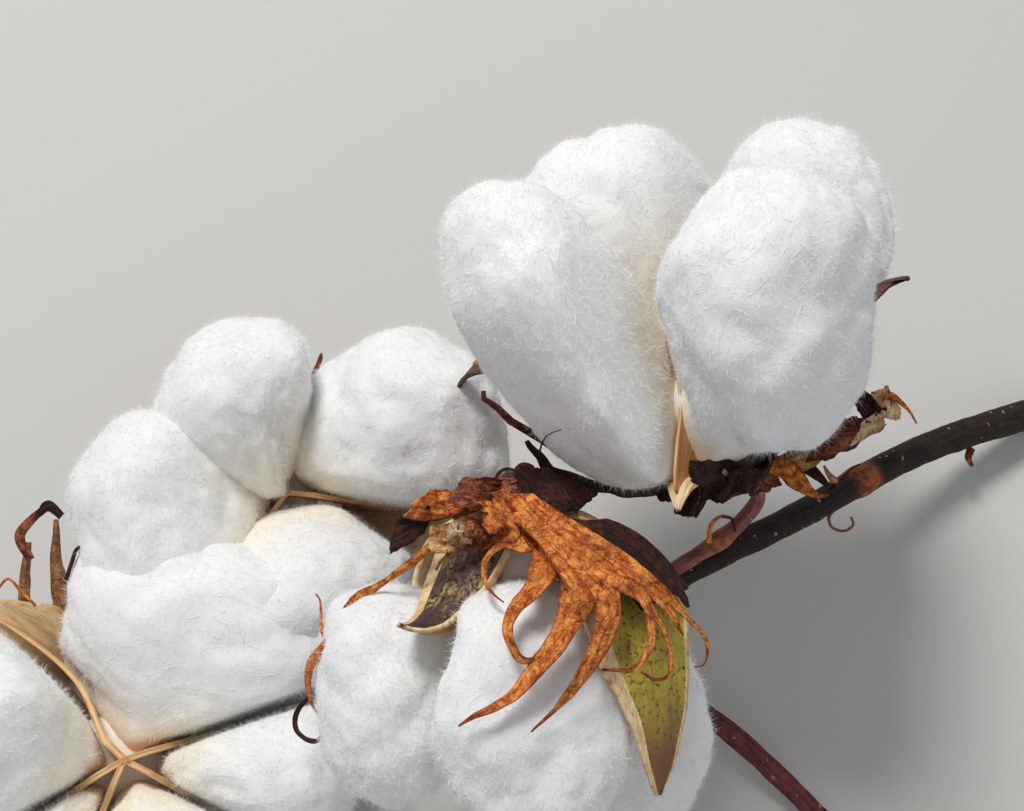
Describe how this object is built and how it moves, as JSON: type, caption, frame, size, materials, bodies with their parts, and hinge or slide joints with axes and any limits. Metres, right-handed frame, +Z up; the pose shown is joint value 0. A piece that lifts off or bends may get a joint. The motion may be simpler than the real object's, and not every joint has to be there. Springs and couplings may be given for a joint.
{
  "type": "cut cotton branch with open bolls",
  "caption": "Dry cotton branch cut at harvest, lying down, with open bolls of white lint in woody burs and toothed bracts.",
  "frame": {"origin": "middle of the bounding box, on the level surface that the branch lies on", "axes": "+Z up from that surface, +X towards the cut end of the main stem, +Y towards the tip of the upper boll"},
  "size_m": [0.2392, 0.1442, 0.1176],
  "materials": {
    "lint": "soft loose fibre, matte",
    "bur": "dry papery wood, matte",
    "bract": "dry leaf, matte",
    "bark": "thin bark, satin",
    "stalk": "thin bark, satin"
  },
  "bodies": {
    "root": {"corner_bract_bottom": "bract", "corner_bract_right": "bract", "corner_bract_side": "bract", "corner_bur": "bur", "corner_lock_bottom": "lint", "corner_lock_nook": "lint", "corner_lock_right": "lint", "corner_lock_side": "lint", "corner_lock_top": "lint", "corner_stalk": "stalk", "front_bract_dark": "bract", "front_bract_fan": "bract", "front_bract_left": "bract", "front_bur": "bur", "front_lock_back": "lint", "front_lock_centre": "lint", "front_lock_left": "lint", "front_lock_right": "lint", "front_stalk": "stalk", "left_bract_right": "bract", "left_bract_side": "bract", "left_bract_top": "bract", "left_bur": "bur", "left_lock_bottom": "lint", "left_lock_right": "lint", "left_lock_side": "lint", "left_lock_top": "lint", "left_stalk": "stalk", "lower_stem": "stalk", "main_stem": "bark", "upper_bract_front": "bract", "upper_bract_left": "bract", "upper_bract_right": "bract", "upper_bur": "bur", "upper_lock_left_back": "lint", "upper_lock_left_front": "lint", "upper_lock_right_back": "lint", "upper_lock_right_front": "lint", "upper_stalk": "stalk"}
  },
  "joints": []
}
